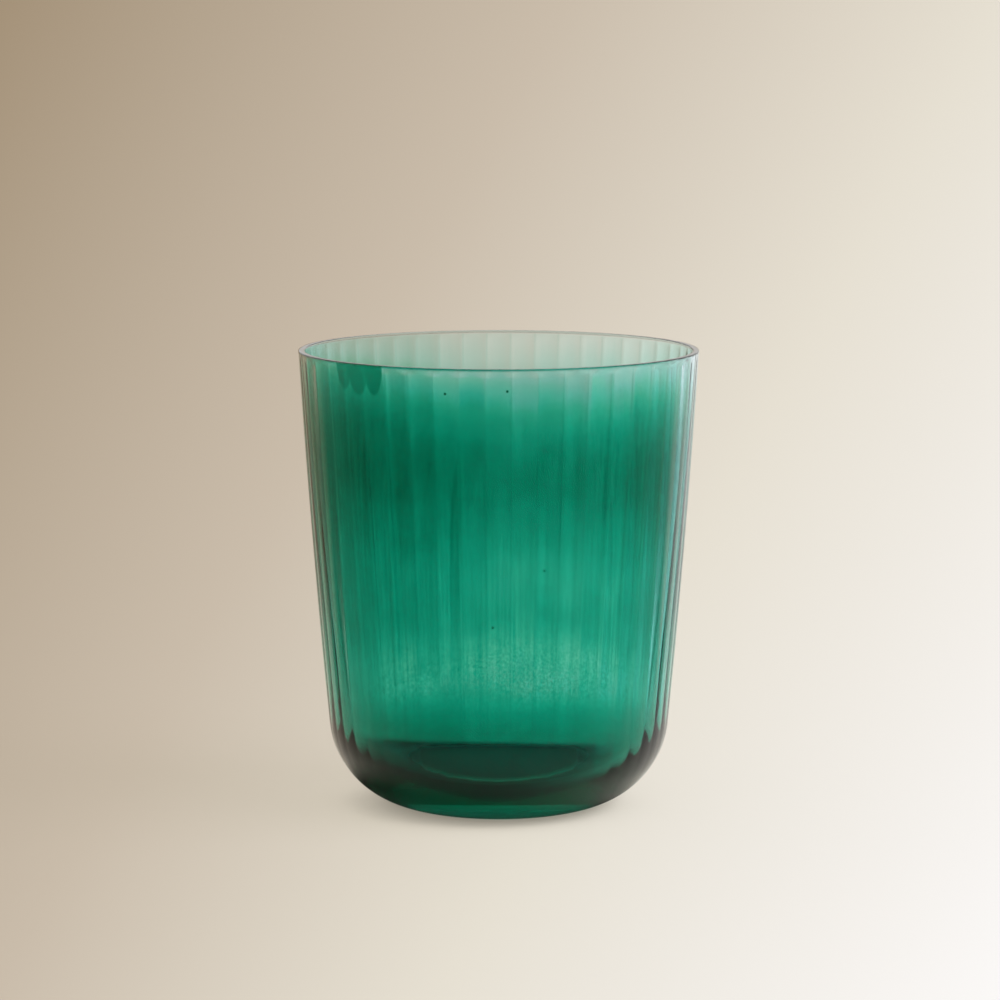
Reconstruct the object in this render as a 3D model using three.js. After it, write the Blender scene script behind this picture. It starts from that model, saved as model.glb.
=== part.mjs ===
import * as THREE from 'three';

// A ribbed water tumbler of cased glass, standing on the XY plane with its axis on Z. Millimetres.

// Outside of the clear casing
const HEIGHT = 92;
const RIM_DIAMETER = 80;
const FOOT_DIAMETER = 31.4;
const HEEL_RADIUS = 18.6;
const WALL_LEAN = THREE.MathUtils.degToRad(5.5);
const LIP_RADIUS = 0.3;

// Inside of the tumbler: the wall and the floor count both layers of glass
const RIM_WALL = 1.3;
const HEEL_WALL = 2.6;
const FLOOR_THICKNESS = 5.6;
const CAVITY_HEEL_RADIUS = 15;

// Green lining, which thins out towards its edge under the lip
const LINING_THICKNESS = 0.8;
const LINING_EDGE = 0.1;
const LINING_DROP = 0.4;
const LINING_FADE = 20;

// Reeded outside: convex ribs that rise slowly out of the heel and end under the lip
const RIB_COUNT = 48;
const RIB_DEPTH = 0.2;
const RIB_RISE = 34;
const RIB_RUN_OUT = 1.5;

// Fineness of the faces
const STEPS_PER_RIB = 4;
const LINING_STEPS_PER_RIB = 2;
const HEEL_STEPS = 6;
const WALL_STEPS = 3;
const LIP_STEPS = 2;
const CAVITY_HEEL_STEPS = 5;
const CAVITY_WALL_STEPS = 2;

const { lerp, smoothstep } = THREE.MathUtils;

const rimRadius = RIM_DIAMETER / 2;
const footRadius = FOOT_DIAMETER / 2;
const lipHeight = HEIGHT - LIP_RADIUS;
const ribTop = lipHeight - RIB_RUN_OUT;
const liningTop = HEIGHT - LINING_DROP;
const fadeStart = liningTop - LINING_FADE;

// A profile point has the distance from the axis in x and the height in y.
function profilePoint(radius, height) {
  return new THREE.Vector2(radius, height);
}

function arcPoint(centre, radius, angle) {
  return profilePoint(centre.x + radius * Math.cos(angle), centre.y + radius * Math.sin(angle));
}

function arcPoints(centre, radius, from, to, steps) {
  return Array.from({ length: steps + 1 }, (_, i) => arcPoint(centre, radius, lerp(from, to, i / steps)));
}

// The heel is an arc that leaves the flat foot and turns up into the leaning, slightly bowed wall.
const heelCentre = profilePoint(footRadius, HEEL_RADIUS);
const heelTop = arcPoint(heelCentre, HEEL_RADIUS, -WALL_LEAN);
const wallMiddle = (heelTop.y + lipHeight) / 2;
const outerWall = new THREE.QuadraticBezierCurve(
  heelTop,
  profilePoint(heelTop.x + Math.tan(WALL_LEAN) * (wallMiddle - heelTop.y), wallMiddle),
  profilePoint(rimRadius, lipHeight),
);

function outerRadius(height) {
  if (height < heelTop.y) {
    return footRadius + Math.sqrt(HEEL_RADIUS ** 2 - (HEEL_RADIUS - height) ** 2);
  }
  return outerWall.getPoint((height - heelTop.y) / (lipHeight - heelTop.y)).x;
}

// The cavity has a flat floor, a rounded heel of its own and a wall that follows the outside.
const cavityTurn = FLOOR_THICKNESS + CAVITY_HEEL_RADIUS;
const cavityHeelTop = cavityTurn - CAVITY_HEEL_RADIUS * Math.sin(WALL_LEAN);

function cavityRadius(height) {
  const share = (height - cavityHeelTop) / (lipHeight - cavityHeelTop);
  return outerRadius(height) - lerp(HEEL_WALL, RIM_WALL, share);
}

const cavityCentre = profilePoint(
  cavityRadius(cavityHeelTop) - CAVITY_HEEL_RADIUS * Math.cos(WALL_LEAN),
  cavityTurn,
);

// From the axis at the floor, round the cavity's heel and up its wall to the lining's edge.
function insideProfile(floorOffset, wallOffset) {
  const heel = arcPoints(
    cavityCentre,
    CAVITY_HEEL_RADIUS + floorOffset,
    -Math.PI / 2,
    -WALL_LEAN,
    CAVITY_HEEL_STEPS,
  );
  const wall = [];
  for (const [from, to] of [[heel.at(-1).y, fadeStart], [fadeStart, liningTop]]) {
    for (let i = 1; i <= CAVITY_WALL_STEPS; i += 1) {
      const height = lerp(from, to, i / CAVITY_WALL_STEPS);
      wall.push(profilePoint(cavityRadius(height) + wallOffset(height), height));
    }
  }
  return [profilePoint(0, FLOOR_THICKNESS - floorOffset), ...heel, ...wall];
}

function liningAt(height) {
  return lerp(LINING_THICKNESS, LINING_EDGE, smoothstep(height, fadeStart, liningTop));
}

// The two layers meet at the seam, and the lining's other face is the cavity.
const seamProfile = insideProfile(LINING_THICKNESS, liningAt);
const cavityProfile = insideProfile(0, () => 0);

// Turned about the axis, with +Z up and the angle zero towards -Y.
function turned(profile, steps) {
  const geometry = new THREE.LatheGeometry(profile, steps);
  geometry.rotateX(Math.PI / 2);
  return geometry;
}

// Share of the full rib depth: none on the foot, all of it on the wall and none at the lip.
function ribShare(height) {
  return smoothstep(height, 0, RIB_RISE) * (1 - smoothstep(height, ribTop, lipHeight));
}

// Presses grooves between the ribs into the first points of each turned profile.
function cutGrooves(geometry, profileLength, outsideLength) {
  const position = geometry.attributes.position;
  for (let i = 0; i < position.count; i += 1) {
    const x = position.getX(i);
    const y = position.getY(i);
    const radius = Math.hypot(x, y);
    if (i % profileLength < outsideLength && radius > 0) {
      const turn = (Math.atan2(x, -y) / (2 * Math.PI)) * RIB_COUNT;
      const fromCrest = 2 * Math.abs(turn - Math.round(turn));
      const scale = 1 - (RIB_DEPTH * ribShare(position.getZ(i)) * fromCrest ** 2) / radius;
      position.setX(i, x * scale);
      position.setY(i, y * scale);
    }
  }
  geometry.computeVertexNormals();
}

function clearCasing() {
  const outside = [
    profilePoint(0, 0),
    ...arcPoints(heelCentre, HEEL_RADIUS, -Math.PI / 2, -WALL_LEAN, HEEL_STEPS),
    ...outerWall.getPoints(WALL_STEPS).slice(1, -1),
    profilePoint(outerRadius(ribTop), ribTop),
  ];
  const outerLip = profilePoint(rimRadius - LIP_RADIUS, lipHeight);
  const innerLip = profilePoint(rimRadius - RIM_WALL + LIP_RADIUS, lipHeight);
  const profile = [
    ...outside,
    ...arcPoints(outerLip, LIP_RADIUS, 0, Math.PI / 2, LIP_STEPS),
    ...arcPoints(innerLip, LIP_RADIUS, Math.PI / 2, Math.PI, LIP_STEPS),
    cavityProfile.at(-1),
    ...seamProfile.toReversed(),
  ];
  const geometry = turned(profile, RIB_COUNT * STEPS_PER_RIB);
  cutGrooves(geometry, profile.length, outside.length);
  const glass = new THREE.MeshStandardMaterial({
    color: 0xdfe6e0,
    roughness: 0.05,
    metalness: 0,
    transparent: true,
    opacity: 0.35,
  });
  const casing = new THREE.Mesh(geometry, glass);
  casing.name = 'clear_casing';
  return casing;
}

function greenLining() {
  const profile = [...seamProfile, ...cavityProfile.toReversed()];
  const geometry = turned(profile, RIB_COUNT * LINING_STEPS_PER_RIB);
  const glass = new THREE.MeshStandardMaterial({
    color: 0x0b7d60,
    roughness: 0.05,
    metalness: 0,
    transparent: true,
    opacity: 0.6,
  });
  const lining = new THREE.Mesh(geometry, glass);
  lining.name = 'green_lining';
  return lining;
}

const tumbler = new THREE.Group();
tumbler.add(clearCasing());
tumbler.add(greenLining());

export default tumbler;
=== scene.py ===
import math

import bpy
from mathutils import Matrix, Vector


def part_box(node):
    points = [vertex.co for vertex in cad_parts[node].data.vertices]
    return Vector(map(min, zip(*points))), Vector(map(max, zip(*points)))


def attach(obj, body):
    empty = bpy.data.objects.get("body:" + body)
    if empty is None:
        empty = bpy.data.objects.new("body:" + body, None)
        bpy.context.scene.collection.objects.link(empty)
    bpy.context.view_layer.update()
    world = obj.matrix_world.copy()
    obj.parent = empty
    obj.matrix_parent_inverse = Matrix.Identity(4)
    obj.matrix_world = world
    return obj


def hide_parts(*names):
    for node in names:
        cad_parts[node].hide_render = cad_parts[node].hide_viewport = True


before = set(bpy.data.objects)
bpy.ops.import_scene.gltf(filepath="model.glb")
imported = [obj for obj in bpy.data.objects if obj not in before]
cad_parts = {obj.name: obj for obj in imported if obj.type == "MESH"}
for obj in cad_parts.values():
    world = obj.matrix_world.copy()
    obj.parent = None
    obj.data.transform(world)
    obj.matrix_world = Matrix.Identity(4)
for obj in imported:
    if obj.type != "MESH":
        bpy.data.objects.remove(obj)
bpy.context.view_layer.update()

# Sizes of the glass, in metres. The overall ones come from the frame
MM = 0.001
casing_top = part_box("clear_casing")[1]
HEIGHT = casing_top.z
RIM_RADIUS = casing_top.x
LINING_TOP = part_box("green_lining")[1].z
FOOT_RADIUS = 15.7 * MM
HEEL_RADIUS = 18.6 * MM
WALL_LEAN = math.radians(5.5)
LIP_RADIUS = 0.3 * MM
RIM_WALL = 1.3 * MM
HEEL_WALL = 2.6 * MM
FLOOR_THICKNESS = 5.6 * MM
CAVITY_HEEL_RADIUS = 15.0 * MM
LINING_THICKNESS = 0.8 * MM
LINING_EDGE = 0.1 * MM
LINING_FADE = 20.0 * MM
# The lining is sunk a hair into the casing, so that light passes their seam as it does in fused glass
SEAM_FUSE = 0.02 * MM
# Mark on the lining's mesh that is 1 on the face towards the bowl and 0 on the seam
BOWL_FACE = "bowl_face"

# Reeding of the outside, which is deepest at the middle of the wall and a little softer towards the rim
RIB_COUNT = 48
RIB_DEPTH = 0.15 * MM
RIB_START = 2.0 * MM
RIB_RISE = 38.0 * MM
RIB_RUN_OUT = 1.5 * MM
RIB_SOFTEN = (45.0 * MM, 88.0 * MM)
RIB_AT_RIM = 0.65

# Fineness of the meshes
CASING_STEPS = RIB_COUNT * 12
LINING_STEPS = RIB_COUNT * 4
HEEL_STEPS = 28
WALL_STEPS = 24
LIP_STEPS = 6
CAVITY_HEEL_STEPS = 20
CAVITY_WALL_STEPS = 12
FADE_STEPS = 10
SHARPEST_CURVE = math.radians(30)

# Camera, as fitted to the outline in the photograph
CAMERA_DISTANCE = 799.7 * MM
CAMERA_HEIGHT = 171.5 * MM
CAMERA_PITCH = math.radians(7.831)
CAMERA_LENS = 144.8
CAMERA_SIDE = 0.26 * MM
CAMERA_CLIP = (0.01, 60.0)
SENSOR_WIDTH = 36.0


def lerp(a, b, t):
    return a + (b - a) * t


def spread(start, end, steps):
    """Even steps from start, which is left out, to end."""
    return [lerp(start, end, i / steps) for i in range(1, steps + 1)]


def smoothstep(value, low, high):
    t = min(max((value - low) / (high - low), 0.0), 1.0)
    return t * t * (3.0 - 2.0 * t)


def arc_points(centre, radius, start, end, steps):
    angles = [lerp(start, end, i / steps) for i in range(steps + 1)]
    return [(centre[0] + radius * math.cos(a), centre[1] + radius * math.sin(a)) for a in angles]


# Profile of the outside: a heel arc that turns up into a leaning, slightly bowed wall
LIP_HEIGHT = HEIGHT - LIP_RADIUS
heel_top = (
    FOOT_RADIUS + HEEL_RADIUS * math.cos(WALL_LEAN),
    HEEL_RADIUS - HEEL_RADIUS * math.sin(WALL_LEAN),
)
wall_middle = (heel_top[1] + LIP_HEIGHT) / 2
wall_bow = heel_top[0] + math.tan(WALL_LEAN) * (wall_middle - heel_top[1])


def outer_radius(height):
    t = (height - heel_top[1]) / (LIP_HEIGHT - heel_top[1])
    return (1 - t) ** 2 * heel_top[0] + 2 * t * (1 - t) * wall_bow + t * t * RIM_RADIUS


# Profile of the inside: a flat floor, a heel of its own and a wall that follows the outside
cavity_turn = FLOOR_THICKNESS + CAVITY_HEEL_RADIUS
cavity_heel_top = cavity_turn - CAVITY_HEEL_RADIUS * math.sin(WALL_LEAN)


def cavity_radius(height):
    share = (height - cavity_heel_top) / (LIP_HEIGHT - cavity_heel_top)
    return outer_radius(height) - lerp(HEEL_WALL, RIM_WALL, share)


cavity_centre = (
    cavity_radius(cavity_heel_top) - CAVITY_HEEL_RADIUS * math.cos(WALL_LEAN),
    cavity_turn,
)
fade_start = LINING_TOP - LINING_FADE


def lining_at(height):
    return lerp(LINING_THICKNESS, LINING_EDGE, smoothstep(height, fade_start, LINING_TOP))


def inside_profile(floor_offset, wall_offset):
    heel = arc_points(
        cavity_centre, CAVITY_HEEL_RADIUS + floor_offset, -math.pi / 2, -WALL_LEAN, CAVITY_HEEL_STEPS
    )
    heights = spread(heel[-1][1], fade_start, CAVITY_WALL_STEPS)
    heights += spread(fade_start, LINING_TOP, FADE_STEPS)
    wall = [(cavity_radius(h) + wall_offset(h), h) for h in heights]
    return [(0.0, FLOOR_THICKNESS - floor_offset)] + heel + wall


def turned_mesh(name, profile, steps, cut):
    """A closed solid turned from a profile that starts and ends on the axis.

    cut(i, height, angle) is how far profile point i is pressed in towards the axis at that angle.
    """
    vertices = [(0.0, 0.0, profile[0][1])]
    for i, (radius, height) in enumerate(profile[1:-1], start=1):
        for step in range(steps):
            angle = 2 * math.pi * step / steps
            r = radius - cut(i, height, angle)
            vertices.append((r * math.sin(angle), -r * math.cos(angle), height))
    vertices.append((0.0, 0.0, profile[-1][1]))
    top = len(vertices) - 1
    rings = len(profile) - 2
    faces = []
    for step in range(steps):
        after = (step + 1) % steps
        faces.append((0, 1 + after, 1 + step))
        for ring in range(rings - 1):
            low = 1 + ring * steps
            high = low + steps
            faces.append((low + step, low + after, high + after, high + step))
        last = 1 + (rings - 1) * steps
        faces.append((top, last + step, last + after))
    mesh = bpy.data.meshes.new(name)
    mesh.from_pydata(vertices, [], faces)
    mesh.validate()
    mesh.shade_smooth()
    mesh.set_sharp_from_angle(angle=SHARPEST_CURVE)
    piece = bpy.data.objects.new(name, mesh)
    bpy.context.scene.collection.objects.link(piece)
    return piece


def rib_share(height):
    run_out = smoothstep(height, LIP_HEIGHT - RIB_RUN_OUT, LIP_HEIGHT)
    softened = lerp(1.0, RIB_AT_RIM, smoothstep(height, *RIB_SOFTEN))
    return smoothstep(height, RIB_START, RIB_RISE) * softened * (1.0 - run_out)


def groove(angle):
    turn = angle / (2 * math.pi) * RIB_COUNT
    return (2.0 * abs(turn - round(turn))) ** 2


def casing_piece():
    heel = arc_points((FOOT_RADIUS, HEEL_RADIUS), HEEL_RADIUS, -math.pi / 2, -WALL_LEAN, HEEL_STEPS)
    rib_top = LIP_HEIGHT - RIB_RUN_OUT
    heights = spread(heel_top[1], rib_top, WALL_STEPS)
    heights += spread(rib_top, LIP_HEIGHT, LIP_STEPS)[:-1]
    outside = [(0.0, 0.0)] + heel + [(outer_radius(h), h) for h in heights]
    lip = arc_points((RIM_RADIUS - LIP_RADIUS, LIP_HEIGHT), LIP_RADIUS, 0, math.pi / 2, LIP_STEPS)
    inner = RIM_RADIUS - RIM_WALL + LIP_RADIUS
    lip += arc_points((inner, LIP_HEIGHT), LIP_RADIUS, math.pi / 2, math.pi, LIP_STEPS)
    lip.append((cavity_radius(LINING_TOP), LINING_TOP))
    seam = inside_profile(LINING_THICKNESS, lining_at)
    profile = outside + lip + seam[::-1]

    def cut(i, height, angle):
        if i >= len(outside):
            return 0.0
        return RIB_DEPTH * rib_share(height) * groove(angle)

    return turned_mesh("clear_casing_glass", profile, CASING_STEPS, cut)


def lining_piece():
    seam = inside_profile(LINING_THICKNESS + SEAM_FUSE, lambda h: lining_at(h) + SEAM_FUSE)
    cavity = inside_profile(0.0, lambda h: 0.0)
    edge = (cavity_radius(LINING_TOP) + LINING_EDGE / 2, LINING_TOP + SEAM_FUSE)
    profile = seam + [edge] + cavity[::-1]
    piece = turned_mesh("green_lining_glass", profile, LINING_STEPS, lambda i, height, angle: 0.0)
    coated = [0.0]
    for i in range(1, len(profile) - 1):
        coated += [float(i > len(seam))] * LINING_STEPS
    coated.append(1.0)
    piece.data.attributes.new(BOWL_FACE, "FLOAT", "POINT").data.foreach_set("value", coated)
    return piece


# Keeps the level part of a vector
LEVEL = (1.0, 1.0, 0.0)


def new_material(name):
    material = bpy.data.materials.new(name)
    material.use_nodes = True
    tree = material.node_tree
    tree.nodes.clear()
    return material, tree


def add_node(tree, kind, **values):
    node = tree.nodes.new(kind)
    for key, value in values.items():
        setattr(node, key, value)
    return node


def put(tree, socket, value):
    if isinstance(value, bpy.types.NodeSocket):
        tree.links.new(value, socket)
    else:
        socket.default_value = value


def calc(tree, operation, *values, clamp=False):
    node = add_node(tree, "ShaderNodeMath", operation=operation, use_clamp=clamp)
    for socket, value in zip(node.inputs, values):
        put(tree, socket, value)
    return node.outputs[0]


def squared(tree, value):
    return calc(tree, "MULTIPLY", value, value)


def vector_calc(tree, operation, *values):
    node = add_node(tree, "ShaderNodeVectorMath", operation=operation)
    for socket, value in zip(node.inputs, values):
        put(tree, socket, value)
    return node.outputs["Value" if operation == "DOT_PRODUCT" else "Vector"]


def split(tree, vector):
    node = add_node(tree, "ShaderNodeSeparateXYZ")
    tree.links.new(vector, node.inputs[0])
    return node.outputs


def from_axis(tree, place, across=0.0):
    """Distance from the glass's axis, or from an upright line beside it."""
    flat = vector_calc(tree, "MULTIPLY_ADD", place, LEVEL, (-across, 0.0, 0.0))
    return calc(tree, "SQRT", vector_calc(tree, "DOT_PRODUCT", flat, flat))


def bearing(tree, place):
    """Level direction from the glass's axis to a place."""
    return vector_calc(tree, "NORMALIZE", vector_calc(tree, "MULTIPLY", place, LEVEL))


def remap(tree, value, low, high, to_low=0.0, to_high=1.0):
    node = add_node(tree, "ShaderNodeMapRange", interpolation_type="SMOOTHSTEP")
    put(tree, node.inputs["Value"], value)
    node.inputs["From Min"].default_value = low
    node.inputs["From Max"].default_value = high
    node.inputs["To Min"].default_value = to_low
    node.inputs["To Max"].default_value = to_high
    return node.outputs[0]


def noise(tree, place, scale, detail=2.0):
    node = add_node(tree, "ShaderNodeTexNoise")
    tree.links.new(place, node.inputs["Vector"])
    node.inputs["Scale"].default_value = scale
    node.inputs["Detail"].default_value = detail
    return node.outputs["Fac"]


def colour_ramp(tree, value, stops):
    node = add_node(tree, "ShaderNodeValToRGB")
    elements = node.color_ramp.elements
    for position, _ in stops[1:-1]:
        elements.new(position)
    for element, (position, colour) in zip(elements, stops):
        element.position = position
        element.color = colour
    tree.links.new(value, node.inputs[0])
    return node.outputs["Color"]


def group_tree(name, inputs, outputs):
    tree = bpy.data.node_groups.new(name, "ShaderNodeTree")
    for socket, kind in inputs.items():
        tree.interface.new_socket(socket, in_out="INPUT", socket_type=kind)
    for socket, kind in outputs.items():
        tree.interface.new_socket(socket, in_out="OUTPUT", socket_type=kind)
    return tree, add_node(tree, "NodeGroupInput").outputs, add_node(tree, "NodeGroupOutput").inputs


# Light that one wall of the glass lets by, from the thinnest brushing of the green to the thickest
GREENS = (
    (0.0, (0.84, 0.97, 1.0)),
    (0.2, (0.5, 0.87, 0.85)),
    (0.3, (0.31, 0.78, 0.67)),
    (0.4, (0.17, 0.71, 0.6)),
    (0.5, (0.08, 0.64, 0.54)),
    (0.6, (0.035, 0.57, 0.47)),
    (0.75, (0.015, 0.48, 0.38)),
    (0.9, (0.006, 0.36, 0.27)),
    (1.0, (0.001, 0.2, 0.13)),
)
# Light that the casing's two faces let by together, by depth below the rim in millimetres: a dark line at the
# lip that is painted shade, copying the dark edge of the rim, clear glass under it, part of the wall's green,
# and most of the green of the thick base. The lining's bowl face takes the rest
CASING_TINTS = (
    (0, (0.35, 0.47, 0.45)),
    (0.7, (0.9, 0.97, 0.99)),
    (6, (0.7, 0.9, 0.9)),
    (12, (0.46, 0.73, 0.69)),
    (20, (0.32, 0.61, 0.58)),
    (36, (0.34, 0.65, 0.61)),
    (50, (0.42, 0.75, 0.71)),
    (60, (0.4, 0.82, 0.77)),
    (68, (0.34, 0.8, 0.74)),
    (77, (0.15, 0.58, 0.48)),
    (86, (0.025, 0.42, 0.33)),
    (92, (0.1, 0.82, 0.74)),
)
# How thickly the green is brushed, by depth below the rim in millimetres
BRUSHED = (
    (0, 0.04), (4, 0.12), (7, 0.2), (10, 0.325), (13, 0.45), (17, 0.6), (21, 0.7), (27, 0.76), (33, 0.72),
    (38, 0.615), (44, 0.545), (50, 0.54), (60, 0.55), (66, 0.575), (74, 0.62), (78, 0.69), (82, 0.79),
    (86, 0.93), (89, 0.97),
)
# Where the green's upper edge is higher, in millimetres: on the left, on both sides and at the front
EDGE_LEFT = 3.2
EDGE_SIDES = 6.0
EDGE_FRONT = 2.0
# Drops of colour that ran down from the rim: angle in degrees, half width and length in millimetres
DRIPS = ((-49.8, 2.4, 5.8), (-44.0, 3.0, 6.7), (-38.2, 2.4, 6.5))
DRIP_THICKNESS = 0.74
# Specks in the green: angle in degrees and depth in millimetres
SPECKS = ((-15.3, 4.9), (2.4, 4.3), (14.2, 39.4), (-1.8, 50.5))
SPECK_SIZE = 0.27
# Soft edge of a drop or speck, from full to none, in squares of its half size
SPOT_EDGE = (0.7, 1.15)
# The upper edge of the green: the depths over which its shape dies away, and how far each cause moves it, in
# millimetres. Towards the back of the glass the ribs differ less
EDGE_FADES = (20.0, 40.0)
CLOUD_FINENESS = 45.0
CLOUD_MOVES = (7.0, -4.9)
RIB_MOVES = 1.5
BULGE_MOVES = 1.2
BACK_FROM = (-8.0 * MM, 8.0 * MM)
BACK_SHARE = 0.3
# Marks of the brush on the wall: how fine and how detailed they are, and how much thickness they add or take
NOISE_MIDDLE = (0.3, 0.7)
STREAK_STRETCH = 0.6
STREAK_GRAIN = (40.0, 3.0)
STREAK_TONE = (-0.035, 0.035)
FIBRE_GRAIN = (90.0, 2.0)
FIBRE_TONE = (-0.025, 0.025)
MOTTLE_GRAIN = (130.0, 4.0)
MOTTLE_TONE = (-0.1, -0.02)
# Painted shade: a thin dark line behind each groove, where the groove bends the light
GROOVE_SHADE_EDGE = (0.43, 0.5)
GROOVE_SHADE_TONE = 0.1
GROOVE_SHADE_LEAST = 0.3
RIB_TONE = 0.12
# Thickness that is added from left to right and on the right, by the share of the rim's radius to the right.
# The first is painted shade, darker on the left and lighter on the right
SIDE_SHADE_FROM = (-0.8, 0.5)
SIDE_SHADE_TONE = (0.06, -0.04)
RIGHT_FROM = (0.4, 0.8)
RIGHT_TONE = (0.0, 0.06)
# The marks are faint above the first of these depths and again below the second, in millimetres
MARKS_START = (6.0, 18.0)
MARKS_AT_RIM = 0.15
MARKS_END = (70.0, 80.0)
MARKS_AT_BASE = 0.3
# A patch low on the wall where the green is thinner and speckled, in millimetres. It is lower at the back
PATCH_TILT = 6.5
PATCH_TOP = (53.0, 67.0)
PATCH_BOTTOM = (69.0, 76.0)
PATCH_MIDDLE = 2.0
PATCH_SIDES = (20.0, 42.0)
BLOTCH_GRAIN = (70.0, 3.0)
BLOTCH_SHARE = (0.7, 1.2)
SPECKLE_GRAIN = (2200.0, 2.0)
SPECKLE_TONE = (-0.13, -0.27)
SPECKLE_MIDDLE = (0.35, 0.65)
# A fainter thin patch higher up, right of the middle
FAINT_TOP = (32.0, 42.0)
FAINT_BOTTOM = (50.0, 60.0)
FAINT_MIDDLE = 10.0
FAINT_SIDES = (8.0, 26.0)
FAINT_TONE = -0.065


def brushed_green_group():
    """Light that each layer lets by: the casing's by depth alone, the lining's with the brush's marks."""
    layers = {"Casing": "NodeSocketColor", "Lining": "NodeSocketColor"}
    tree, _, outputs = group_tree("brushed_green", {}, layers)
    place = add_node(tree, "ShaderNodeTexCoord").outputs["Object"]
    x, y, z = split(tree, place)
    angle = calc(tree, "ARCTAN2", x, calc(tree, "MULTIPLY", y, -1.0))
    reach = HEIGHT / MM
    depth = calc(tree, "MULTIPLY_ADD", z, -1.0 / MM, reach)

    def by_depth(value):
        curve = add_node(tree, "ShaderNodeFloatCurve")
        points = curve.mapping.curves[0].points
        for depth_mm, thickness in BRUSHED[1:-1]:
            points.new(depth_mm / reach, thickness)
        for point, (depth_mm, thickness) in zip(points, BRUSHED):
            point.location = (depth_mm / reach, thickness)
        curve.mapping.update()
        tree.links.new(calc(tree, "DIVIDE", value, reach, clamp=True), curve.inputs["Value"])
        return curve.outputs[0]

    def spot(degrees, depth_mm, half_width, half_height, thickness):
        off_angle = calc(tree, "SUBTRACT", angle, math.radians(degrees))
        sideways = calc(tree, "MULTIPLY", off_angle, RIM_RADIUS / MM / half_width)
        down = calc(tree, "DIVIDE", calc(tree, "SUBTRACT", depth, depth_mm), half_height)
        away = calc(tree, "ADD", squared(tree, sideways), squared(tree, down))
        return remap(tree, away, *SPOT_EDGE, thickness, 0.0)

    def thin_area(at_depth, top, bottom, middle, sides):
        below_top = remap(tree, at_depth, *top)
        above_bottom = remap(tree, at_depth, *bottom, 1.0, 0.0)
        across = calc(tree, "ABSOLUTE", calc(tree, "MULTIPLY_ADD", x, 1.0 / MM, -middle))
        between_sides = remap(tree, across, *sides, 1.0, 0.0)
        return calc(tree, "MULTIPLY", calc(tree, "MULTIPLY", below_top, above_bottom), between_sides)

    # The upper edge of the green leans, and each rib took the colour a little differently
    near_rim = remap(tree, depth, *EDGE_FADES, 1.0, 0.0)
    sideways = calc(tree, "DIVIDE", x, RIM_RADIUS)
    lean = calc(tree, "MULTIPLY", sideways, -EDGE_LEFT)
    lean = calc(tree, "MULTIPLY_ADD", y, -EDGE_FRONT / RIM_RADIUS, lean)
    lean = calc(tree, "MULTIPLY_ADD", squared(tree, sideways), EDGE_SIDES, lean)
    lean = calc(tree, "MULTIPLY", lean, near_rim)
    turn = calc(tree, "MULTIPLY", angle, RIB_COUNT / (2 * math.pi))
    rib = calc(tree, "FLOOR", calc(tree, "ADD", turn, 0.5))
    off_middle = calc(tree, "SUBTRACT", turn, rib)
    bulge = calc(tree, "SUBTRACT", 1.0, squared(tree, calc(tree, "MULTIPLY", off_middle, 2.0)))
    dice = add_node(tree, "ShaderNodeTexWhiteNoise", noise_dimensions="1D")
    tree.links.new(calc(tree, "FLOORED_MODULO", rib, float(RIB_COUNT)), dice.inputs["W"])
    rib_start, rib_tone, _ = split(tree, dice.outputs["Color"])
    rib_start = calc(tree, "MULTIPLY", rib_start, remap(tree, y, *BACK_FROM, 1.0, BACK_SHARE))
    ragged = calc(tree, "MULTIPLY_ADD", noise(tree, place, CLOUD_FINENESS), *CLOUD_MOVES)
    ragged = calc(tree, "MULTIPLY_ADD", rib_start, RIB_MOVES, ragged)
    ragged = calc(tree, "MULTIPLY_ADD", bulge, BULGE_MOVES, ragged)
    edge = calc(tree, "MULTIPLY_ADD", ragged, near_rim, lean)
    thickness = by_depth(calc(tree, "ADD", depth, edge))

    # Streaks run down the wall. A thin dark line behind each groove is painted shade, where the groove bends
    # the light
    stretch = (0.0, 0.0, STREAK_STRETCH)
    streak_place = vector_calc(tree, "MULTIPLY_ADD", place, stretch, bearing(tree, place))
    streaks = remap(tree, noise(tree, streak_place, *STREAK_GRAIN), *NOISE_MIDDLE, *STREAK_TONE)
    fibres = remap(tree, noise(tree, streak_place, *FIBRE_GRAIN), *NOISE_MIDDLE, *FIBRE_TONE)
    mottle = remap(tree, noise(tree, place, *MOTTLE_GRAIN), *NOISE_MIDDLE, *MOTTLE_TONE)
    groove_shade = remap(tree, calc(tree, "ABSOLUTE", off_middle), *GROOVE_SHADE_EDGE, 0.0, GROOVE_SHADE_TONE)
    groove_shade_share = calc(tree, "MULTIPLY_ADD", rib_start, 1.0 - GROOVE_SHADE_LEAST, GROOVE_SHADE_LEAST)
    groove_shade = calc(tree, "MULTIPLY", groove_shade, groove_shade_share)
    uneven = calc(tree, "MULTIPLY_ADD", rib_tone, RIB_TONE, calc(tree, "ADD", streaks, fibres))
    uneven = calc(tree, "ADD", uneven, mottle)
    # Painted shade: the left side darker and the right lighter
    uneven = calc(tree, "ADD", uneven, remap(tree, sideways, *SIDE_SHADE_FROM, *SIDE_SHADE_TONE))
    uneven = calc(tree, "ADD", uneven, remap(tree, sideways, *RIGHT_FROM, *RIGHT_TONE))
    uneven = calc(tree, "MULTIPLY_ADD", uneven, remap(tree, depth, *MARKS_START, MARKS_AT_RIM, 1.0), groove_shade)
    above_base = remap(tree, depth, *MARKS_END, 1.0, MARKS_AT_BASE)
    thickness = calc(tree, "MULTIPLY_ADD", uneven, above_base, thickness)
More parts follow.
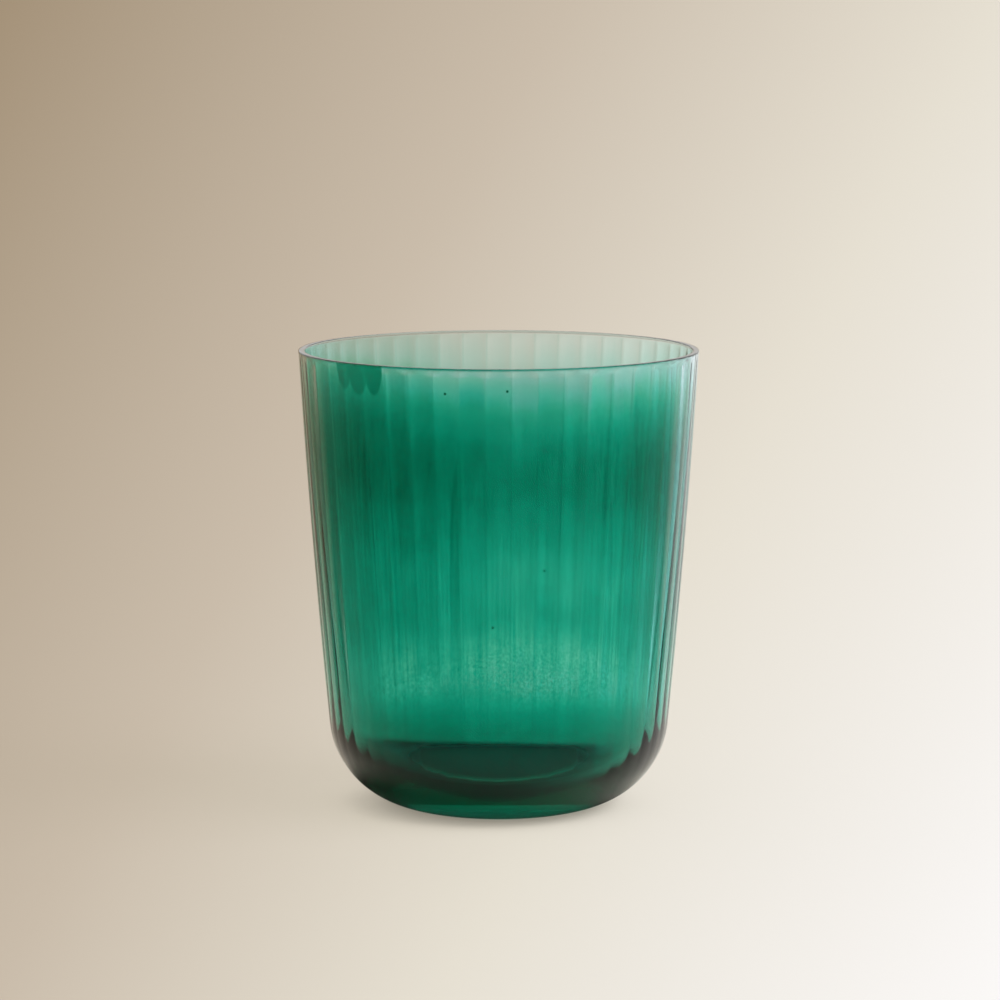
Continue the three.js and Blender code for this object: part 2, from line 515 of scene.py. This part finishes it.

    # Two patches are thinner, and the lower one looks speckled
    patch_depth = calc(tree, "MULTIPLY_ADD", y, -PATCH_TILT / RIM_RADIUS, depth)
    low_patch = thin_area(patch_depth, PATCH_TOP, PATCH_BOTTOM, PATCH_MIDDLE, PATCH_SIDES)
    blotches = remap(tree, noise(tree, place, *BLOTCH_GRAIN), *SPECKLE_MIDDLE, *BLOTCH_SHARE)
    speckle = remap(tree, noise(tree, place, *SPECKLE_GRAIN), *SPECKLE_MIDDLE, *SPECKLE_TONE)
    thickness = calc(tree, "MULTIPLY_ADD", calc(tree, "MULTIPLY", low_patch, blotches), speckle, thickness)
    faint = thin_area(depth, FAINT_TOP, FAINT_BOTTOM, FAINT_MIDDLE, FAINT_SIDES)
    thickness = calc(tree, "MULTIPLY_ADD", faint, FAINT_TONE, thickness)

    for degrees, half_width, length in DRIPS:
        thickness = calc(tree, "MAXIMUM", thickness, spot(degrees, 0.0, half_width, length, DRIP_THICKNESS))
    for degrees, depth_mm in SPECKS:
        thickness = calc(tree, "MAXIMUM", thickness, spot(degrees, depth_mm, SPECK_SIZE, SPECK_SIZE, 1.0))

    # The lining's one coated face takes its whole share of the light, and the casing's two faces half each
    tints = [(depth_mm / reach, tint + (1.0,)) for depth_mm, tint in CASING_TINTS]
    casing = colour_ramp(tree, calc(tree, "DIVIDE", depth, reach), tints)
    both = colour_ramp(tree, thickness, [(amount, green + (1.0,)) for amount, green in GREENS])
    lining = vector_calc(tree, "MINIMUM", vector_calc(tree, "DIVIDE", both, casing), (1.0, 1.0, 1.0))
    tree.links.new(casing, outputs["Casing"])
    tree.links.new(vector_calc(tree, "MULTIPLY", lining, lining), outputs["Lining"])
    return tree


SKIN_FINENESS = 90.0
SKIN_WAVE = 0.02 * MM


def glass_skin_group():
    """The faint waves of glass that was blown and never ground."""
    tree, _, outputs = group_tree("glass_skin", {}, {"Height": "NodeSocketFloat"})
    place = add_node(tree, "ShaderNodeTexCoord").outputs["Object"]
    tree.links.new(noise(tree, place, SKIN_FINENESS), outputs["Height"])
    return tree


# The glass's face-on shine is turned down in the material and kept stronger on the heel: painted shade and
# light on its reflections, for a set that is dark in front and the bright paper that the heel faces. So the
# wall shines only where it is seen aslant
FACE_ON_SHINE = (0.05, 0.05, 0.05, 1.0)
HEEL_SHINE = 0.3
HEEL_SHINE_RISE = (10.0 * MM, 24.0 * MM)
GLASS_IOR = 1.5
# The ground foot, up to where the polished heel begins
FOOT_ROUGHNESS = 0.6
FOOT_EDGE = (0.01 * MM, 0.05 * MM)
# Light that a face of the glass lets by on its way to the floor: green from the lining under the foot, and
# little at the heel, which bends it away. The foot's shade ends and the heel's starts just above the floor
WALL_SHADE = (0.982, 0.982, 0.978, 1.0)
HEEL_SHADE = (0.4, 0.4, 0.39, 1.0)
FOOT_SHADE = (0.1, 1.0, 0.78, 1.0)
FOOT_SHADE_END = 0.02 * MM
HEEL_SHADE_START = 0.05 * MM
HEEL_SHADE_RISE = 5.0 * MM
# Light that the uncoated seam face of the lining lets by
SEAM_CLEAR = (1.0, 1.0, 1.0, 1.0)
# Painted shade on the floor of the bowl, from its dark and uneven middle to its faint edge
BOWL_SHADE_TONE = (0.008, 0.008, 0.008, 1.0)
BOWL_SHADE_EDGE = (16.0 * MM, 24.0 * MM)
BOWL_SHADE_RISE = 4.0 * MM
BOWL_FLOOR_ROUGHNESS = 0.38


def glass_material(name, skin):
    material, tree = new_material(name)
    glass = add_node(tree, "ShaderNodeBsdfPrincipled")
    glass.inputs["IOR"].default_value = GLASS_IOR
    glass.inputs["Transmission Weight"].default_value = 1.0
    glass.inputs["Specular Tint"].default_value = FACE_ON_SHINE
    waves = add_node(tree, "ShaderNodeGroup", node_tree=skin)
    bump = add_node(tree, "ShaderNodeBump")
    bump.inputs["Distance"].default_value = SKIN_WAVE
    tree.links.new(waves.outputs["Height"], bump.inputs["Height"])
    tree.links.new(bump.outputs["Normal"], glass.inputs["Normal"])
    return material, tree, glass


def let_light_by(tree, glass, shade):
    """Lamps and the floor's own light pass straight through the glass, dimmed by shade."""
    out = add_node(tree, "ShaderNodeOutputMaterial")
    mix = add_node(tree, "ShaderNodeMixShader")
    light_path = add_node(tree, "ShaderNodeLightPath").outputs
    straight = add_node(tree, "ShaderNodeBsdfTransparent")
    put(tree, straight.inputs["Color"], shade)
    unseen = calc(tree, "MAXIMUM", light_path["Is Shadow Ray"], light_path["Is Diffuse Ray"])
    tree.links.new(unseen, mix.inputs[0])
    tree.links.new(glass.outputs[0], mix.inputs[1])
    tree.links.new(straight.outputs[0], mix.inputs[2])
    tree.links.new(mix.outputs[0], out.inputs["Surface"])


def clear_glass(brushed, skin):
    material, tree, glass = glass_material("clear_glass", skin)
    green = add_node(tree, "ShaderNodeGroup", node_tree=brushed)
    tree.links.new(green.outputs["Casing"], glass.inputs["Base Color"])
    height = split(tree, add_node(tree, "ShaderNodeTexCoord").outputs["Object"])["Z"]
    ground_foot = remap(tree, height, *FOOT_EDGE, FOOT_ROUGHNESS, 0.0)
    tree.links.new(ground_foot, glass.inputs["Roughness"])
    # Painted reflection: the heel's shine is raised above the wall's
    shine = remap(tree, height, *HEEL_SHINE_RISE, HEEL_SHINE, FACE_ON_SHINE[0])
    tree.links.new(shine, glass.inputs["Specular Tint"])
    up_heel = calc(tree, "DIVIDE", height, HEEL_SHADE_RISE, clamp=True)
    shades = (
        (FOOT_SHADE_END / HEEL_SHADE_RISE, FOOT_SHADE),
        (HEEL_SHADE_START / HEEL_SHADE_RISE, HEEL_SHADE),
        (1.0, WALL_SHADE),
    )
    let_light_by(tree, glass, colour_ramp(tree, up_heel, shades))
    return material


def green_glass(brushed, skin):
    material, tree, glass = glass_material("green_glass", skin)
    green = add_node(tree, "ShaderNodeGroup", node_tree=brushed)
    place = add_node(tree, "ShaderNodeTexCoord").outputs["Object"]
    # Painted shade on the middle of the bowl's floor, which is rougher where it is dark
    floor_level = remap(tree, split(tree, place)["Z"], FLOOR_THICKNESS + BOWL_SHADE_RISE, FLOOR_THICKNESS)
    bowl_shaded = add_node(tree, "ShaderNodeMix", data_type="RGBA")
    bowl_shade = calc(tree, "MULTIPLY", floor_level, remap(tree, from_axis(tree, place), *BOWL_SHADE_EDGE, 1.0, 0.0))
    tree.links.new(bowl_shade, bowl_shaded.inputs["Factor"])
    tree.links.new(green.outputs["Lining"], bowl_shaded.inputs["A"])
    bowl_shaded.inputs["B"].default_value = BOWL_SHADE_TONE
    coated = add_node(tree, "ShaderNodeAttribute", attribute_name=BOWL_FACE)
    colour = add_node(tree, "ShaderNodeMix", data_type="RGBA")
    tree.links.new(coated.outputs["Fac"], colour.inputs["Factor"])
    colour.inputs["A"].default_value = SEAM_CLEAR
    tree.links.new(bowl_shaded.outputs["Result"], colour.inputs["B"])
    tree.links.new(colour.outputs["Result"], glass.inputs["Base Color"])
    coated_roughness = calc(tree, "MULTIPLY", coated.outputs["Fac"], BOWL_FLOOR_ROUGHNESS)
    tree.links.new(calc(tree, "MULTIPLY", bowl_shade, coated_roughness), glass.inputs["Roughness"])
    let_light_by(tree, glass, WALL_SHADE)
    return material


# The paper's tone runs from tan at the far left to near white at the near right: painted light, which falls
# off away from the near right. The display colours stand at their share of the way, which slopes down the
# picture by
# TONE_SLOPE for each step across it
TONES = (
    (0.0, (161, 143, 119)),
    (0.36, (198, 185, 168)),
    (0.64, (226, 220, 207)),
    (1.0, (247, 245, 244)),
)
TONE_SLOPE = 0.57
TONE_ACROSS = 1.0 / (1.0 + TONE_SLOPE)
TONE_DOWN = TONE_SLOPE / (1.0 + TONE_SLOPE)
TONE_MIDDLE = 0.5
# Keeps the tone finite beside the camera, where nothing is ahead of it
AHEAD_LEAST = 0.01
FOCAL = CAMERA_LENS / SENSOR_WIDTH
pitch_sin = math.sin(CAMERA_PITCH)
pitch_cos = math.cos(CAMERA_PITCH)


def linear(rgb):
    """Display colour, 0 to 255, as the linear colour that Blender's sockets take."""
    parts = [c / 255 for c in rgb]
    return tuple(c / 12.92 if c <= 0.04045 else ((c + 0.055) / 1.055) ** 2.4 for c in parts) + (1.0,)


def paper_tone_group():
    """Tone of the paper at a place, or of the backdrop in a direction, as one run of tones over both: painted
    light.
    """
    tree, inputs, outputs = group_tree(
        "paper_tone",
        {"Place": "NodeSocketVector", "Start Across": "NodeSocketFloat", "Start Ahead": "NodeSocketFloat"},
        {"Color": "NodeSocketColor"},
    )
    slope = (FOCAL * TONE_ACROSS, -FOCAL * TONE_DOWN * pitch_sin, -FOCAL * TONE_DOWN * pitch_cos)
    across = vector_calc(tree, "DOT_PRODUCT", inputs["Place"], slope)
    across = calc(tree, "ADD", across, inputs["Start Across"])
    ahead = vector_calc(tree, "DOT_PRODUCT", inputs["Place"], (0.0, pitch_cos, -pitch_sin))
    ahead = calc(tree, "ADD", ahead, inputs["Start Ahead"])
    ahead = calc(tree, "SQRT", calc(tree, "MULTIPLY_ADD", ahead, ahead, AHEAD_LEAST))
    tone = calc(tree, "ADD", calc(tree, "DIVIDE", across, ahead), TONE_MIDDLE)
    stops = [(share, linear(rgb)) for share, rgb in TONES]
    tree.links.new(colour_ramp(tree, tone, stops), outputs["Color"])
    return tree


# The paper lies a hair under the foot, so that the two faces don't coincide
FLOOR_REACH = 20.0
FLOOR_DROP = 0.2 * MM
# The paper in the gap under the heel is painted dark to the glass over it, most of all away from the key
# light: a painted contact shadow that only the glass's reflections and refractions see
GAP_SHADE_TONE = 0.06
GAP_INNER = (16.0 * MM, 18.0 * MM)
GAP_OUTER = (25.0 * MM, 40.0 * MM)
GAP_ACROSS = -5.0 * MM
# The paper beside the glass is painted dark in the glass's reflections, as dark cards there would make it:
# painted shade in the reflections
REFLECTION_SHADE_TONE = 0.25
REFLECTION_SHADE_EDGE = (0.8, 0.93)
REFLECTION_SHADE_NEAR = (80.0 * MM, 160.0 * MM)


def floor_paper(tone):
    material, tree = new_material("floor_paper")
    place = add_node(tree, "ShaderNodeNewGeometry").outputs["Position"]
    distance = from_axis(tree, place)
    light_path = add_node(tree, "ShaderNodeLightPath").outputs
    glossy = light_path["Is Glossy Ray"]
    through = light_path["Is Transmission Ray"]

    paper_tone = add_node(tree, "ShaderNodeGroup", node_tree=tone)
    camera_up = CAMERA_DISTANCE * pitch_sin - CAMERA_HEIGHT * pitch_cos
    paper_tone.inputs["Start Across"].default_value = -FOCAL * TONE_DOWN * camera_up
    paper_tone.inputs["Start Ahead"].default_value = CAMERA_DISTANCE * pitch_cos + CAMERA_HEIGHT * pitch_sin
    tree.links.new(place, paper_tone.inputs["Place"])

    # Painted contact shadow under the heel, seen only by rays off or through the glass
    past_foot = remap(tree, distance, *GAP_INNER)
    under_heel = remap(tree, from_axis(tree, place, GAP_ACROSS), *GAP_OUTER, 1.0, 0.0)
    gap_shade = calc(tree, "MULTIPLY", past_foot, under_heel)
    gap_shade = calc(tree, "MULTIPLY", gap_shade, calc(tree, "MAXIMUM", glossy, through))
    dim = calc(tree, "MULTIPLY_ADD", gap_shade, GAP_SHADE_TONE - 1.0, 1.0)

    # Painted shade on the paper beside the glass, seen only in its reflections
    beside = remap(tree, calc(tree, "ABSOLUTE", split(tree, bearing(tree, place))["X"]), *REFLECTION_SHADE_EDGE)
    beside = calc(tree, "MULTIPLY", beside, remap(tree, distance, *REFLECTION_SHADE_NEAR))
    mirrored = calc(tree, "SUBTRACT", glossy, through, clamp=True)
    reflection_shade = calc(tree, "MULTIPLY_ADD", calc(tree, "MULTIPLY", beside, mirrored), REFLECTION_SHADE_TONE - 1.0, 1.0)

    dimmed = add_node(tree, "ShaderNodeVectorMath", operation="SCALE")
    tree.links.new(paper_tone.outputs["Color"], dimmed.inputs[0])
    tree.links.new(calc(tree, "MULTIPLY", dim, reflection_shade), dimmed.inputs["Scale"])
    paper = add_node(tree, "ShaderNodeBsdfPrincipled")
    paper.inputs["Roughness"].default_value = 1.0
    paper.inputs["Specular IOR Level"].default_value = 0.0
    tree.links.new(dimmed.outputs[0], paper.inputs["Base Color"])
    out = add_node(tree, "ShaderNodeOutputMaterial")
    tree.links.new(paper.outputs[0], out.inputs["Surface"])
    return material


def stand(tone):
    mesh = bpy.data.meshes.new("studio_floor")
    corners = [(-1, -1), (1, -1), (1, 1), (-1, 1)]
    vertices = [(FLOOR_REACH * x, FLOOR_REACH * y, -FLOOR_DROP) for x, y in corners]
    mesh.from_pydata(vertices, [], [(0, 1, 2, 3)])
    mesh.materials.append(floor_paper(tone))
    floor = bpy.data.objects.new("studio_floor", mesh)
    bpy.context.scene.collection.objects.link(floor)


def camera():
    data = bpy.data.cameras.new("camera")
    data.lens = CAMERA_LENS
    data.sensor_width = SENSOR_WIDTH
    data.clip_start, data.clip_end = CAMERA_CLIP
    cam = bpy.data.objects.new("camera", data)
    cam.location = (CAMERA_SIDE, -CAMERA_DISTANCE, CAMERA_HEIGHT)
    cam.rotation_euler = (math.pi / 2 - CAMERA_PITCH, 0.0, 0.0)
    bpy.context.scene.collection.objects.link(cam)
    bpy.context.scene.camera = cam


# One soft key from the right, a plain fill, and a backdrop that the camera and the glass see. Above the paper
# it turns into a pale wall, which is dim overhead
KEY_FROM = Vector((1.0, -0.4, 1.0))
KEY_ENERGY = 2.64
KEY_SPREAD = math.radians(45)
FILL = 0.46
FILL_TONE = (1.0, 0.995, 0.985, 1.0)
WALL_TONE = (1.0, 0.985, 0.96, 1.0)
WALL_RISE = (0.02, 0.14)
OVERHEAD = 0.35
OVERHEAD_RISE = (0.2, 0.6)
# Light crosses many faces of the glass before it comes out
GLASS_BOUNCES = 32
MIRROR_BOUNCES = 16


def backdrop_and_fill(tone):
    world = bpy.data.worlds.new("studio")
    bpy.context.scene.world = world
    world.use_nodes = True
    tree = world.node_tree
    tree.nodes.clear()
    fill = add_node(tree, "ShaderNodeBackground")
    fill.inputs["Color"].default_value = FILL_TONE
    fill.inputs["Strength"].default_value = FILL
    direction = add_node(tree, "ShaderNodeTexCoord").outputs["Generated"]
    paper_tone = add_node(tree, "ShaderNodeGroup", node_tree=tone)
    tree.links.new(direction, paper_tone.inputs["Place"])
    rise = split(tree, direction)["Z"]
    wall = add_node(tree, "ShaderNodeMix", data_type="RGBA")
    tree.links.new(remap(tree, rise, *WALL_RISE), wall.inputs["Factor"])
    tree.links.new(paper_tone.outputs["Color"], wall.inputs["A"])
    wall.inputs["B"].default_value = WALL_TONE
    backdrop = add_node(tree, "ShaderNodeBackground")
    tree.links.new(wall.outputs["Result"], backdrop.inputs["Color"])
    tree.links.new(remap(tree, rise, *OVERHEAD_RISE, 1.0, OVERHEAD), backdrop.inputs["Strength"])
    light_path = add_node(tree, "ShaderNodeLightPath").outputs
    mix = add_node(tree, "ShaderNodeMixShader")
    out = add_node(tree, "ShaderNodeOutputWorld")
    tree.links.new(light_path["Is Diffuse Ray"], mix.inputs[0])
    tree.links.new(backdrop.outputs[0], mix.inputs[1])
    tree.links.new(fill.outputs[0], mix.inputs[2])
    tree.links.new(mix.outputs[0], out.inputs["Surface"])


def soft_key():
    data = bpy.data.lights.new("soft_key", "SUN")
    data.energy = KEY_ENERGY
    data.angle = KEY_SPREAD
    key = bpy.data.objects.new("soft_key", data)
    key.rotation_euler = KEY_FROM.to_track_quat("Z", "Y").to_euler()
    key.visible_glossy = False
    key.visible_transmission = False
    bpy.context.scene.collection.objects.link(key)


brushed = brushed_green_group()
skin = glass_skin_group()
casing = casing_piece()
casing.data.materials.append(clear_glass(brushed, skin))
lining = lining_piece()
lining.data.materials.append(green_glass(brushed, skin))
for piece, node, slot in ((casing, "clear_casing", "clear_glass"), (lining, "green_lining", "green_glass")):
    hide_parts(node)
    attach(piece, "root")

tone = paper_tone_group()
stand(tone)
camera()
backdrop_and_fill(tone)
soft_key()

scene = bpy.context.scene
scene.view_settings.view_transform = "Standard"
scene.cycles.max_bounces = GLASS_BOUNCES
scene.cycles.transmission_bounces = GLASS_BOUNCES
scene.cycles.glossy_bounces = MIRROR_BOUNCES
scene.cycles.transparent_max_bounces = GLASS_BOUNCES
scene.cycles.caustics_reflective = False
scene.cycles.caustics_refractive = False
